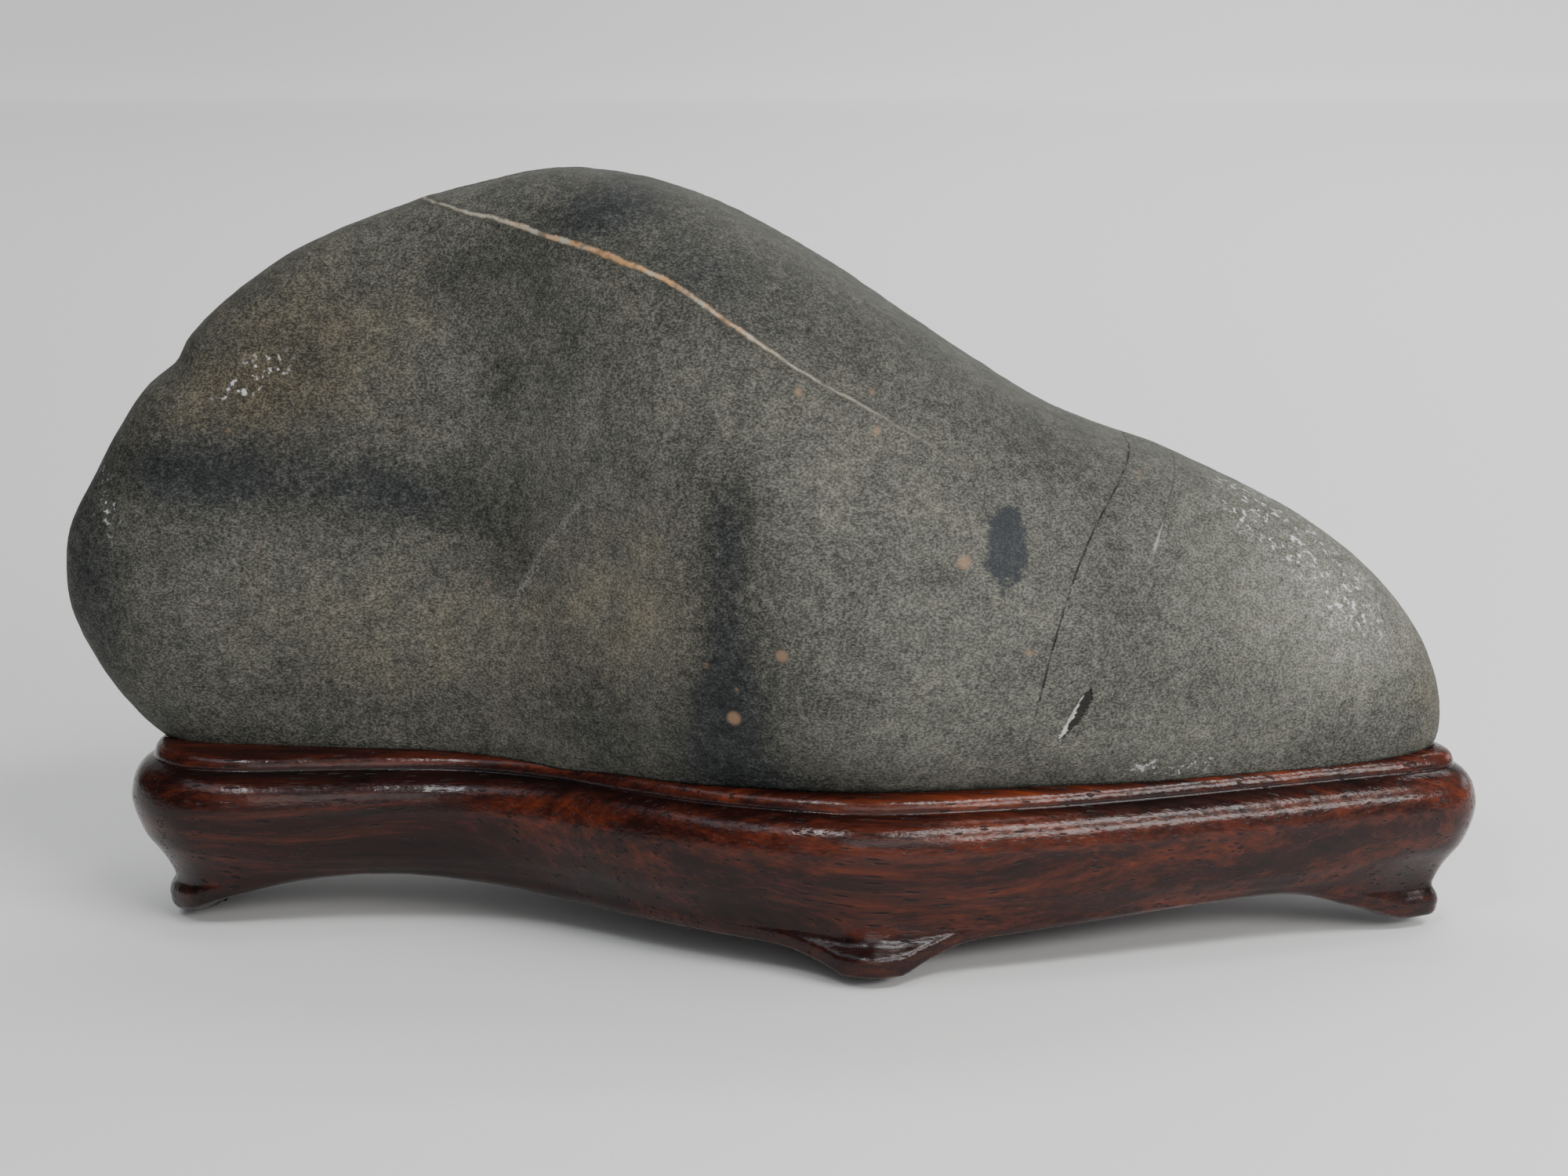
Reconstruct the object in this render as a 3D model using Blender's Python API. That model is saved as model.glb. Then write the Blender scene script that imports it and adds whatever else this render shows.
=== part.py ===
"""A river-worn viewing stone resting in its carved hardwood stand.

The object has two separate pieces.  The stone is a smooth, lopsided hump, high on
the left and running down to a nose on the right.  The stand is carved from one
block: a seat cut to the stone's underside, a beaded rim, a bowed apron and four
feet.  The stone is not fastened and lifts straight up out of its seat.

Frame: +X along the longest side, the front faces -Y and +Z is up.  The origin is
the middle of the bounding box's bottom.  The tables below are in millimetres and
are turned into metres where the meshes are made.
"""
import bmesh
import bpy
import numpy as np
from mathutils import Vector

MM = 0.001

# ------------------------------------------------------------ driving dimensions
RIM_HEIGHT = 31.0        # flat top of the stand's lip
UNDERSIDE_HEIGHT = 9.6   # flat underside between the feet
APRON_EDGE = 8.6         # lowest edge of the apron, where it is highest
APRON_DEPTH = 9.0        # from the widest line in to the back of the apron
FOOT_DEPTH = 17.4        # the same where there is a foot
TOE_FADE = 2.0           # exponent: how soon a toe gives way to the apron beside it
SEAT_CLEARANCE = 0.4     # between the stone and the seat cut for it
STONE_FACES = 18         # faces along each side of the cube that the stone grows from
STAND_STATIONS = 156     # sections of the rim and apron around the stand

# ------------------------------------------------------------------- the stone
# Front outline (x, z), anticlockwise from the nose on the right.
STONE_HEART = (0.0, 63.0)
STONE_OUTLINE = (
    (118.9, 36.0), (115.6, 48.6), (107.4, 60.2), (93.5, 71.4), (72.0, 81.7),
    (50.8, 89.8), (32.0, 101.4), (8.2, 117.0), (-12.5, 127.9), (-34.0, 132.2),
    (-55.8, 128.1), (-78.6, 119.9), (-92.2, 111.8), (-101.6, 103.0), (-105.0, 97.4),
    (-111.2, 91.8), (-118.8, 79.4), (-124.8, 67.0), (-124.8, 54.3), (-119.2, 41.9),
    (-109.6, 30.8), (-96.6, 22.8), (-72.0, 20.6), (-10.0, 20.5), (62.0, 20.5),
    (100.0, 22.2), (115.4, 28.8),
)
# (x, middle, half thickness) along the stone, both measured along Y.
STONE_THICKNESS = (
    (-126.0, 12.0, 24.0), (-104.0, 14.0, 24.0), (-88.0, 16.0, 22.5), (-62.0, 15.0, 21.5),
    (-46.0, 12.5, 24.0), (-30.0, 9.5, 32.5), (-11.0, 7.0, 40.0), (17.0, 6.0, 44.5),
    (38.0, 6.0, 42.0), (62.0, 6.0, 36.5), (84.0, 6.0, 29.5), (104.0, 5.0, 24.5),
    (120.0, 4.0, 21.0),
)
ROUNDNESS = 2.5          # exponent of the cross-section; 2 is an ellipse
# Swellings and hollows of the front (-1) and back (+1) faces:
# (face, x, z, reach along x, reach along z, height), a negative height is a hollow.
STONE_RELIEF = (
    (-1, 9.0, 57.0, 10.0, 26.0, 2.4),
    (-1, -27.0, 49.0, 13.0, 26.0, -2.6),
    (-1, -84.0, 67.0, 26.0, 24.0, 2.5),
    (-1, 62.0, 81.0, 30.0, 12.0, -2.0),
    (-1, 76.0, 53.0, 22.0, 14.0, 2.0),
    (1, -20.0, 93.0, 30.0, 22.0, -3.0),
    (1, 40.0, 61.0, 24.0, 18.0, 3.0),
    (1, -78.0, 59.0, 24.0, 20.0, -2.0),
)

# ------------------------------------------------------------------- the stand
# Widest line of the stand, anticlockwise from the right end: (x, y, height of the
# apron's lowest edge, how far the toe kicks out past its usual place).
STAND_PLAN = (
    (124.9, -1.0, 0.0, 0.0), (123.8, 5.6, -0.3, 0.0), (119.0, 13.2, 0.0, 0.0),
    (109.8, 21.8, 2.2, 0.0), (96.0, 29.8, 6.6, 0.0), (78.0, 36.8, 8.0, 0.0),
    (54.0, 43.2, 7.0, 0.0), (38.0, 45.6, 6.0, 0.4), (27.0, 46.9, 4.6, 1.2),
    (20.5, 47.4, 2.2, 2.8), (15.5, 47.7, -0.1, 5.0), (11.0, 47.8, -0.5, 6.2),
    (6.5, 47.7, -0.1, 5.0), (1.5, 47.4, 2.2, 2.8), (-5.0, 46.8, 4.6, 1.2),
    (-18.0, 45.4, 6.0, 0.4), (-40.0, 43.2, 7.2, 0.0), (-66.0, 41.6, 8.4, 0.0),
    (-86.0, 40.4, 7.4, 0.0), (-99.6, 34.6, 3.4, 0.0), (-108.2, 26.0, 0.0, 0.0),
    (-113.2, 16.0, -0.3, 0.0), (-114.9, 7.0, -0.3, 0.0), (-112.4, -1.2, 0.0, 0.0),
    (-105.4, -7.6, 1.4, 0.0), (-94.4, -10.0, 4.8, 0.0), (-82.0, -9.6, 7.4, 0.0),
    (-68.0, -8.9, 8.4, 0.0), (-54.0, -9.6, 7.2, 0.0), (-41.0, -13.8, 5.7, 0.0),
    (-28.0, -21.6, 5.0, 0.0), (-13.0, -29.2, 4.6, 0.4), (0.0, -33.5, 3.7, 1.2),
    (7.0, -35.2, 1.8, 2.8), (12.0, -36.2, -0.1, 5.0), (17.0, -36.5, -0.5, 6.2),
    (22.0, -36.3, -0.1, 5.0), (27.5, -35.7, 2.4, 2.8), (35.0, -34.5, 4.8, 1.2),
    (52.0, -31.0, 6.2, 0.4), (74.0, -24.2, 7.4, 0.0), (92.0, -18.0, 7.6, 0.0),
    (104.0, -13.9, 4.0, 0.0), (114.2, -10.4, 0.2, 0.0), (121.8, -6.6, 0.0, 0.0),
)
# Rim section from the flat lip down: (distance in from the widest line, depth below
# the lip).
RIM_SECTION = (
    (7.0, 0.0), (6.1, 0.15), (5.3, 0.55), (4.7, 1.2), (4.3, 2.1), (4.15, 2.9), (3.5, 3.3),
    (2.4, 4.05), (1.3, 5.3), (0.5, 7.0), (0.0, 9.8), (0.3, 12.2), (1.0, 14.4),
)
# The section goes on down the outside and under, once for the apron between the
# feet, with heights above the apron's edge, and once for the middle of a foot, with
# heights above the ground and the share of the toe's kick that each point takes.
APRON_SECTION = (
    (2.4, 4.0), (3.2, 2.6), (3.8, 1.6), (4.3, 1.0), (4.6, 0.6), (4.9, 0.3), (5.3, 0.1),
    (6.0, 0.0), (8.2, 0.0),
)
FOOT_SECTION = (
    (2.2, 13.9, 0.0), (3.9, 11.6, 0.15), (5.5, 9.3, 0.4), (6.6, 7.2, 0.65), (7.1, 5.5, 0.85),
    (6.2, 3.7, 1.0), (6.1, 2.0, 1.0), (7.6, 0.0, 1.0), (16.0, 0.0, 0.4),
)

# --------------------------------------------------------------------- finishes
STONE_COLOUR = (0.085, 0.083, 0.068)
STONE_ROUGHNESS = 0.82
WOOD_COLOUR = (0.095, 0.020, 0.010)
WOOD_ROUGHNESS = 0.28


def clear_scene():
    """Remove whatever the start-up file holds."""
    for obj in list(bpy.data.objects):
        bpy.data.objects.remove(obj, do_unlink=True)


def new_collection(name):
    """A collection linked to the scene."""
    collection = bpy.data.collections.new(name)
    bpy.context.scene.collection.children.link(collection)
    return collection


def finish(name, colour, roughness):
    """A plain Principled material."""
    material = bpy.data.materials.new(name)
    material.use_nodes = True
    shader = material.node_tree.nodes["Principled BSDF"]
    shader.inputs["Base Color"].default_value = (*colour, 1.0)
    shader.inputs["Roughness"].default_value = roughness
    shader.inputs["Metallic"].default_value = 0.0
    return material


def smooth_curve(points, closed=True, steps=12):
    """Catmull-Rom curve through rows of numbers, steps samples for each span."""
    rows = np.asarray(points, dtype=float)
    if closed:
        padded = np.vstack((rows[-1:], rows, rows[:2]))
    else:
        padded = np.vstack((rows[:1], rows, rows[-1:]))
    before, start, end, after = padded[:-3], padded[1:-2], padded[2:-1], padded[3:]
    t = np.linspace(0.0, 1.0, steps, endpoint=False)[:, None, None]
    curve = start + 0.5 * t * (end - before)
    curve = curve + 0.5 * t**2 * (2.0 * before - 5.0 * start + 4.0 * end - after)
    curve = curve + 0.5 * t**3 * (3.0 * start - before - 3.0 * end + after)
    return curve.transpose(1, 0, 2).reshape(-1, rows.shape[1])


def stone_skin(directions):
    """Where the stone's skin lies in each unit direction from its heart."""
    outline = smooth_curve(STONE_OUTLINE) - STONE_HEART
    bearing = np.arctan2(outline[:, 1], outline[:, 0])
    reach = np.hypot(outline[:, 0], outline[:, 1])
    dx, dy, dz = directions.T
    turn = np.arctan2(dz, dx)
    radius = np.interp(turn, bearing, reach, period=2.0 * np.pi)
    sideways, forward = np.hypot(dx, dz), np.abs(dy)
    fullness = (sideways**ROUNDNESS + forward**ROUNDNESS) ** (-1.0 / ROUNDNESS)
    x = STONE_HEART[0] + radius * np.cos(turn) * sideways * fullness
    z = STONE_HEART[1] + radius * np.sin(turn) * sideways * fullness
    stations = smooth_curve(STONE_THICKNESS, closed=False)
    middle = np.interp(x, stations[:, 0], stations[:, 1])
    half = np.interp(x, stations[:, 0], stations[:, 2])
    y = middle + np.sign(dy) * half * forward * fullness
    for face, at_x, at_z, reach_x, reach_z, height in STONE_RELIEF:
        swell = np.exp(-(((x - at_x) / reach_x) ** 2) - ((z - at_z) / reach_z) ** 2)
        facing = np.clip(face * dy * fullness, 0.0, 1.0)
        y = y + face * height * swell * facing
    return np.stack((x, y, z), axis=1)


def add_stone(name, collection, grow=0.0):
    """The stone as a cube of even faces pushed out to its skin, plus grow."""
    mesh = bpy.data.meshes.new(name)
    grid = bmesh.new()
    bmesh.ops.create_cube(grid, size=2.0)
    bmesh.ops.subdivide_edges(grid, edges=grid.edges[:], cuts=STONE_FACES - 1, use_grid_fill=True)
    corners = np.tan(np.array([vert.co for vert in grid.verts]) * np.pi / 4.0)
    directions = corners / np.linalg.norm(corners, axis=1, keepdims=True)
    for vert, place in zip(grid.verts, stone_skin(directions)):
        vert.co = Vector(place)
    bmesh.ops.triangulate(grid, faces=grid.faces[:], quad_method="SHORT_EDGE")
    grid.normal_update()
    for vert in grid.verts:
        vert.co = (vert.co + vert.normal * grow) * MM
    grid.to_mesh(mesh)
    grid.free()
    mesh.shade_smooth()
    stone = bpy.data.objects.new(name, mesh)
    collection.objects.link(stone)
    return stone


def stand_stations():
    """Evenly spaced stations of the plan, each with its inward direction."""
    curve = smooth_curve(STAND_PLAN)
    loop = np.vstack((curve, curve[:1]))
    run = np.concatenate(([0.0], np.cumsum(np.hypot(*np.diff(loop[:, :2], axis=0).T))))
    spots = np.linspace(0.0, run[-1], STAND_STATIONS, endpoint=False)
    stations = np.stack([np.interp(spots, run, column) for column in loop.T], axis=1)
    along = np.roll(stations[:, :2], -1, axis=0) - np.roll(stations[:, :2], 1, axis=0)
    along /= np.linalg.norm(along, axis=1, keepdims=True)
    inward = np.stack((-along[:, 1], along[:, 0]), axis=1)
    return stations, inward


def stand_rings():
    """Rings of points down the outside of the stand, under it and up the inside."""
    stations, inward = stand_stations()
    edge = np.clip(stations[:, 2], 0.0, APRON_EDGE)
    kick = np.clip(stations[:, 3], 0.0, None)
    footness = 1.0 - edge / APRON_EDGE
    apron = [(inset, RIM_HEIGHT - depth) for inset, depth in RIM_SECTION]
    foot = [(inset, height, 0.0) for inset, height in apron]
    apron += [(inset, APRON_EDGE + height) for inset, height in APRON_SECTION]
    foot += FOOT_SECTION
    apron.append((APRON_DEPTH, UNDERSIDE_HEIGHT))
    foot.append((FOOT_DEPTH, UNDERSIDE_HEIGHT, 0.0))
    rings = []
    for (apron_inset, apron_height), (foot_inset, foot_height, share) in zip(apron, foot):
        inset = apron_inset + footness**TOE_FADE * (foot_inset - apron_inset) - share * kick
        height = apron_height + footness * (foot_height - apron_height)
        plan = stations[:, :2] + inward * inset[:, None]
        rings.append(np.column_stack((plan, height)))
    return rings


def add_stand(name, collection, seat_cutter):
    """The stand lofted through its rings, closed above and below, with its seat."""
    loft = bmesh.new()
    rows = [[loft.verts.new(Vector(point) * MM) for point in ring] for ring in stand_rings()]
    for upper, lower in zip(rows, rows[1:]):
        for i in range(STAND_STATIONS):
            j = (i + 1) % STAND_STATIONS
            loft.faces.new((upper[i], lower[i], lower[j], upper[j]))
    loft.faces.new(rows[0])
    loft.faces.new(reversed(rows[-1]))
    bmesh.ops.recalc_face_normals(loft, faces=loft.faces[:])
    mesh = bpy.data.meshes.new(name)
    loft.to_mesh(mesh)
    loft.free()
    mesh.shade_smooth()
    mesh.set_sharp_from_angle(angle=np.radians(40.0))
    stand = bpy.data.objects.new(name, mesh)
    collection.objects.link(stand)
    seat = stand.modifiers.new("seat", "BOOLEAN")
    seat.operation = "DIFFERENCE"
    seat.solver = "EXACT"
    seat.object = seat_cutter
    return stand


def centre_on_base(pieces, cutter):
    """Slide every mesh so that the pieces' shared box is centred over the origin."""
    corners = np.array([vert.co for piece in pieces for vert in piece.data.vertices])
    low, high = corners.min(axis=0), corners.max(axis=0)
    shift = Vector((-(low[0] + high[0]) / 2.0, -(low[1] + high[1]) / 2.0, -low[2]))
    for piece in (*pieces, cutter):
        for vert in piece.data.vertices:
            vert.co += shift
    size = high - low
    print(f"size {size[0]:.4f} x {size[1]:.4f} x {size[2]:.4f} m, shifted by {shift[:]}")


def main():
    clear_scene()
    parts = new_collection("viewing_stone_on_stand")
    cutters = new_collection("cutters")

    seat_cutter = add_stone("seat_cutter", cutters, grow=SEAT_CLEARANCE)
    seat_cutter.hide_render = True
    seat_cutter.display_type = "WIRE"

    stone = add_stone("stone", parts)
    stone.data.materials.append(finish("river_stone", STONE_COLOUR, STONE_ROUGHNESS))

    stand = add_stand("stand", parts, seat_cutter)
    stand.data.materials.append(finish("waxed_rosewood", WOOD_COLOUR, WOOD_ROUGHNESS))

    centre_on_base((stone, stand), seat_cutter)


main()
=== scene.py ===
# %% [markdown]
# # A viewing stone in its carved rosewood stand
#
# The object has two pieces. One is a river-worn stone, smooth to the hand and matte, with
# a pale vein, dark stains, pits and a chip. The other is a stand carved from one block of
# dark red hardwood, oiled and waxed until it shines. Nothing holds them together but the
# stone's weight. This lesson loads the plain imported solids, grows a fine mesh for each
# piece around the same measures, and then spends most of its time on the two finishes.

# %% Load the frame
import math

import bmesh
import bpy
import numpy as np
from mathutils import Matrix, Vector, noise


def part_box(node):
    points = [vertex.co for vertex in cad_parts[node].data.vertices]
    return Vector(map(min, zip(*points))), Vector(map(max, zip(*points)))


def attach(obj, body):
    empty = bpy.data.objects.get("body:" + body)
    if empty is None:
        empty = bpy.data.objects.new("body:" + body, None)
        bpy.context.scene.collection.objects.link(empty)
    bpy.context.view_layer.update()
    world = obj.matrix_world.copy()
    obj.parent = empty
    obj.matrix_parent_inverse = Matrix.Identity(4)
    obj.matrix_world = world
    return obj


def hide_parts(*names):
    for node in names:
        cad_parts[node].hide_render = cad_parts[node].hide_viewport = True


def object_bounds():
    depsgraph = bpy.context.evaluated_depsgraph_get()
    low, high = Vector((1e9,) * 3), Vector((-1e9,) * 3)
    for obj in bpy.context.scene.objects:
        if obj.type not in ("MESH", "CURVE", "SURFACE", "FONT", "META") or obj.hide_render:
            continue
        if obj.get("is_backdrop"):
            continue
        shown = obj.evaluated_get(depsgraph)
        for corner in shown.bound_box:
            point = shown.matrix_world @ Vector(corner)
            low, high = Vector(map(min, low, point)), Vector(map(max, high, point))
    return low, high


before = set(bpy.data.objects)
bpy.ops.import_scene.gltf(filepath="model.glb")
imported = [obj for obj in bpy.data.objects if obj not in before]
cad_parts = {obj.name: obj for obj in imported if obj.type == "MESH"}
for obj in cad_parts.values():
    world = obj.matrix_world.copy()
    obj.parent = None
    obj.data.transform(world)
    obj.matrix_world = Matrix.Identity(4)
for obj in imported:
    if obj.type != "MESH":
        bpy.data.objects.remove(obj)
cad_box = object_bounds()
MM = 0.001

# %% [markdown]
# ## The camera first
#
# The object stands just below eye level, seen square from the front and close enough for
# the front foot to look nearer than the end feet. A long lens from far away would flatten
# that, so the camera stands 615 mm away. It is placed by its distance and its height angle
# from one aim point, because those two can be pictured and a bare position cannot.

# %% Place the camera
AIM = Vector((2.3, -5.8, 59.8)) * MM
CAMERA_DISTANCE = 0.615
CAMERA_ELEVATION = math.radians(13.0)
FOCAL_LENGTH = 80.6
SENSOR_WIDTH = 36.0

camera_data = bpy.data.cameras.new("camera")
camera_data.lens = FOCAL_LENGTH
camera_data.sensor_width = SENSOR_WIDTH
camera_data.clip_start = 0.02
camera_data.clip_end = 20.0
camera = bpy.data.objects.new("camera", camera_data)
bpy.context.scene.collection.objects.link(camera)
towards_viewer = Vector((0.0, -math.cos(CAMERA_ELEVATION), math.sin(CAMERA_ELEVATION)))
camera.location = AIM + towards_viewer * CAMERA_DISTANCE
camera.rotation_euler = (math.pi / 2.0 - CAMERA_ELEVATION, 0.0, 0.0)
bpy.context.scene.camera = camera
print("camera at", [round(c, 3) for c in camera.location])

# %% [markdown]
# ## Smooth curves from a few points
#
# Both pieces are described by short lists: the stone by its outline and its thickness, the
# stand by its plan and its moulding. A Catmull-Rom curve passes through every point of such
# a list and stays smooth between them, so the lists can stay short and be read as design.


# %% A curve through rows of numbers
def smooth_curve(points, closed=True, steps=12):
    """Catmull-Rom curve through rows of numbers, steps samples for each span."""
    rows = np.asarray(points, dtype=float)
    if closed:
        padded = np.vstack((rows[-1:], rows, rows[:2]))
    else:
        padded = np.vstack((rows[:1], rows, rows[-1:]))
    before, start, end, after = padded[:-3], padded[1:-2], padded[2:-1], padded[3:]
    t = np.linspace(0.0, 1.0, steps, endpoint=False)[:, None, None]
    curve = start + 0.5 * t * (end - before)
    curve = curve + 0.5 * t**2 * (2.0 * before - 5.0 * start + 4.0 * end - after)
    curve = curve + 0.5 * t**3 * (3.0 * start - before - 3.0 * end + after)
    curve = curve.transpose(1, 0, 2).reshape(-1, rows.shape[1])
    return curve if closed else np.vstack((curve, rows[-1:]))


def fade(low, high, value):
    """0 below low, 1 above high, and a soft S between; works on arrays."""
    t = np.clip((value - low) / (high - low), 0.0, 1.0)
    return t * t * (3.0 - 2.0 * t)


# %% [markdown]
# ## The stone's form
#
# A sculptor would rough a stone like this from its outline and then round the faces. The
# script does the same: a direction from the stone's heart picks a point on the outline, and
# a superellipse, a little squarer than an ellipse, rounds the outline over to the front and
# back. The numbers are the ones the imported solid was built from, in millimetres.

# %% The stone's measures
STONE_HEART = (0.0, 63.0)
STONE_OUTLINE = (
    (118.9, 36.0), (115.6, 48.6), (107.4, 60.2), (93.5, 71.4), (72.0, 81.7),
    (50.8, 89.8), (32.0, 101.4), (8.2, 117.0), (-12.5, 127.9), (-34.0, 132.2),
    (-55.8, 128.1), (-78.6, 119.9), (-92.2, 111.8), (-101.6, 103.0), (-105.0, 97.4),
    (-111.2, 91.8), (-118.8, 79.4), (-124.8, 67.0), (-124.8, 54.3), (-119.2, 41.9),
    (-109.6, 30.8), (-96.6, 22.8), (-72.0, 20.6), (-10.0, 20.5), (62.0, 20.5),
    (100.0, 22.2), (115.4, 28.8),
)
# (x, middle, half thickness) along the stone, both measured along Y.
STONE_THICKNESS = (
    (-126.0, 12.0, 24.0), (-104.0, 14.0, 24.0), (-88.0, 16.0, 22.5), (-62.0, 15.0, 21.5),
    (-46.0, 12.5, 24.0), (-30.0, 9.5, 32.5), (-11.0, 7.0, 40.0), (17.0, 6.0, 44.5),
    (38.0, 6.0, 42.0), (62.0, 6.0, 36.5), (84.0, 6.0, 29.5), (104.0, 5.0, 24.5),
    (120.0, 4.0, 21.0),
)
ROUNDNESS = 2.5
# (face, x, z, reach along x, reach along z, height) of each swelling or hollow.
STONE_RELIEF = (
    (-1, 9.0, 57.0, 10.0, 26.0, 2.4),
    (-1, -27.0, 49.0, 13.0, 26.0, -2.6),
    (-1, -84.0, 67.0, 26.0, 24.0, 2.5),
    (-1, 62.0, 81.0, 30.0, 12.0, -2.0),
    (-1, 76.0, 53.0, 22.0, 14.0, 2.0),
    (1, -20.0, 93.0, 30.0, 22.0, -3.0),
    (1, 40.0, 61.0, 24.0, 18.0, 3.0),
    (1, -78.0, 59.0, 24.0, 20.0, -2.0),
)


def stone_skin(directions):
    """Where the stone's skin lies in each unit direction from its heart."""
    outline = smooth_curve(STONE_OUTLINE) - STONE_HEART
    bearing = np.arctan2(outline[:, 1], outline[:, 0])
    reach = np.hypot(outline[:, 0], outline[:, 1])
    dx, dy, dz = directions.T
    turn = np.arctan2(dz, dx)
    radius = np.interp(turn, bearing, reach, period=2.0 * np.pi)
    sideways, forward = np.hypot(dx, dz), np.abs(dy)
    fullness = (sideways**ROUNDNESS + forward**ROUNDNESS) ** (-1.0 / ROUNDNESS)
    x = STONE_HEART[0] + radius * np.cos(turn) * sideways * fullness
    z = STONE_HEART[1] + radius * np.sin(turn) * sideways * fullness
    stations = smooth_curve(STONE_THICKNESS, closed=False)
    middle = np.interp(x, stations[:, 0], stations[:, 1])
    half = np.interp(x, stations[:, 0], stations[:, 2])
    y = middle + np.sign(dy) * half * forward * fullness
    for face, at_x, at_z, reach_x, reach_z, height in STONE_RELIEF:
        swell = np.exp(-(((x - at_x) / reach_x) ** 2) - ((z - at_z) / reach_z) ** 2)
        facing = np.clip(face * dy * fullness, 0.0, 1.0)
        y = y + face * height * swell * facing
    return np.stack((x, y, z), axis=1)


# %% [markdown]
# A cube cut into a fine grid and pushed out to the skin keeps its faces even, where a
# globe would pinch them at two poles. The grid has most cells along the length, so that the
# faces of the front come out near a millimetre. The mesh is then slid to where the packed
# stone is.


# %% Grow a stone of any fineness
def stone_mesh(cells):
    """A bmesh of the stone with cells = faces along X, Y and Z of the first cube."""
    grid = bmesh.new()
    bmesh.ops.create_cube(grid, size=2.0)
    for axis, count in enumerate(cells):
        along = [e for e in grid.edges if abs(e.verts[0].co[axis] - e.verts[1].co[axis]) > 1.0]
        bmesh.ops.subdivide_edges(grid, edges=along, cuts=count - 1, use_grid_fill=True)
    corners = np.tan(np.array([vert.co for vert in grid.verts]) * np.pi / 4.0)
    directions = corners / np.linalg.norm(corners, axis=1, keepdims=True)
    skin = stone_skin(directions)
    low, high = (np.array(corner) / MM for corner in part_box("stone"))
    skin += (low + high) / 2.0 - (skin.min(axis=0) + skin.max(axis=0)) / 2.0
    for vert, place in zip(grid.verts, skin):
        vert.co = Vector(place)
    grid.normal_update()
    return grid


def as_arrays(grid):
    """The places and normals of a bmesh's corners as two arrays."""
    places = np.array([vert.co for vert in grid.verts])
    normals = np.array([vert.normal for vert in grid.verts])
    return places, normals


STONE_CELLS = (200, 56, 110)
stone_grid = stone_mesh(STONE_CELLS)
places, normals = as_arrays(stone_grid)
print("stone grid:", len(stone_grid.verts), "corners")

# %% [markdown]
# ## Where things are on the stone
#
# Every mark on the front is placed by x and z in millimetres, as one would lay a ruler on
# it. A line, such as the vein or a crack, is a short path. For each corner of the mesh the
# script works out the signed distance to the path and how far along it the nearest point
# is. A signed distance changes evenly across the line, so even faces wider than the line
# give the shader a crisp edge, where a painted yes or no would come out as steps.


# %% Distances to marks
FRONT_LIMIT = 0.15  # a corner whose normal leans further back than this has no marks
FAR_AWAY = 1e3  # the distance kept for such corners, in millimetres
front = normals[:, 1] < FRONT_LIMIT
flat = places[:, (0, 2)]


def path_distance(path):
    """Signed distance to a path in x and z, and the share of its length at that point."""
    points = smooth_curve(path, closed=False, steps=6)
    lengths = np.concatenate(([0.0], np.cumsum(np.linalg.norm(np.diff(points, axis=0), axis=1))))
    best = np.full(len(flat), FAR_AWAY)
    signed = np.full(len(flat), FAR_AWAY)
    share = np.zeros(len(flat))
    for start, end, at in zip(points, points[1:], lengths):
        leg = end - start
        size = np.linalg.norm(leg)
        t = np.clip((flat - start) @ leg / size**2, 0.0, 1.0)
        gap = flat - start - t[:, None] * leg
        distance = np.linalg.norm(gap, axis=1)
        side = np.sign(leg[0] * gap[:, 1] - leg[1] * gap[:, 0])
        nearer = distance < best
        best = np.where(nearer, distance, best)
        signed = np.where(nearer, distance * side, signed)
        share = np.where(nearer, (at + t * size) / lengths[-1], share)
    signed = np.where(front, signed, FAR_AWAY)
    return signed, share


def spots_distance(spots):
    """Distance to the edge of the nearest round spot, negative inside it."""
    gaps = [np.hypot(flat[:, 0] - x, flat[:, 1] - z) - radius for x, z, radius in spots]
    return np.where(front, np.min(gaps, axis=0), FAR_AWAY)


# Each line runs smoothly through its few (x, z) points, in millimetres.
VEIN = ((-62.0, 127.0), (-40.0, 123.0), (-18.0, 117.0), (3.0, 104.0), (22.0, 93.0), (40.0, 81.0))
CRACK = ((62.0, 85.0), (53.0, 73.0), (47.0, 57.0), (42.0, 34.0))
SCRATCH = ((70.0, 82.0), (66.0, 74.0), (60.0, 61.0))
CHIP = ((54.0, 50.0), (52.0, 46.0), (49.0, 40.0))
FAINT_LINE = ((-43.0, 62.0), (-38.0, 71.0), (-32.0, 79.0))
# (x, z, radius) of the rust spots that catch the eye; small ones are scattered.
RUST_SPOTS = [
    (32.0, 72.0, 1.3), (63.0, 82.0, 0.7), (43.0, 57.0, 1.0), (2.0, 57.0, 1.1), (-6.0, 45.0, 1.3),
]
SMALL_RUST_SPOTS = 12
SCATTER_LOW, SCATTER_HIGH = (-95.0, 34.0), (85.0, 100.0)
scatter = np.random.default_rng(7)
for _ in range(SMALL_RUST_SPOTS):
    at_x, at_z = scatter.uniform(SCATTER_LOW, SCATTER_HIGH)
    RUST_SPOTS.append((at_x, at_z, scatter.uniform(0.4, 0.8)))
# (x, z, radius, depth) of each pit.
PITS = (
    (-45.0, 99.0, 1.5, 0.75), (-47.0, 97.0, 0.9, 0.6), (-52.0, 90.0, 0.8, 0.5),
    (-40.0, 93.0, 1.2, 0.35), (-46.0, 103.0, 0.5, 0.4), (-46.0, 107.0, 0.6, 0.4),
    (51.0, 54.0, 0.8, 0.5), (52.0, 46.0, 1.1, 0.5), (-96.0, 63.0, 0.6, 0.3),
    (-71.0, 55.0, 0.6, 0.25), (14.0, 78.0, 0.6, 0.25), (88.0, 44.0, 0.7, 0.3),
)

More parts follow.
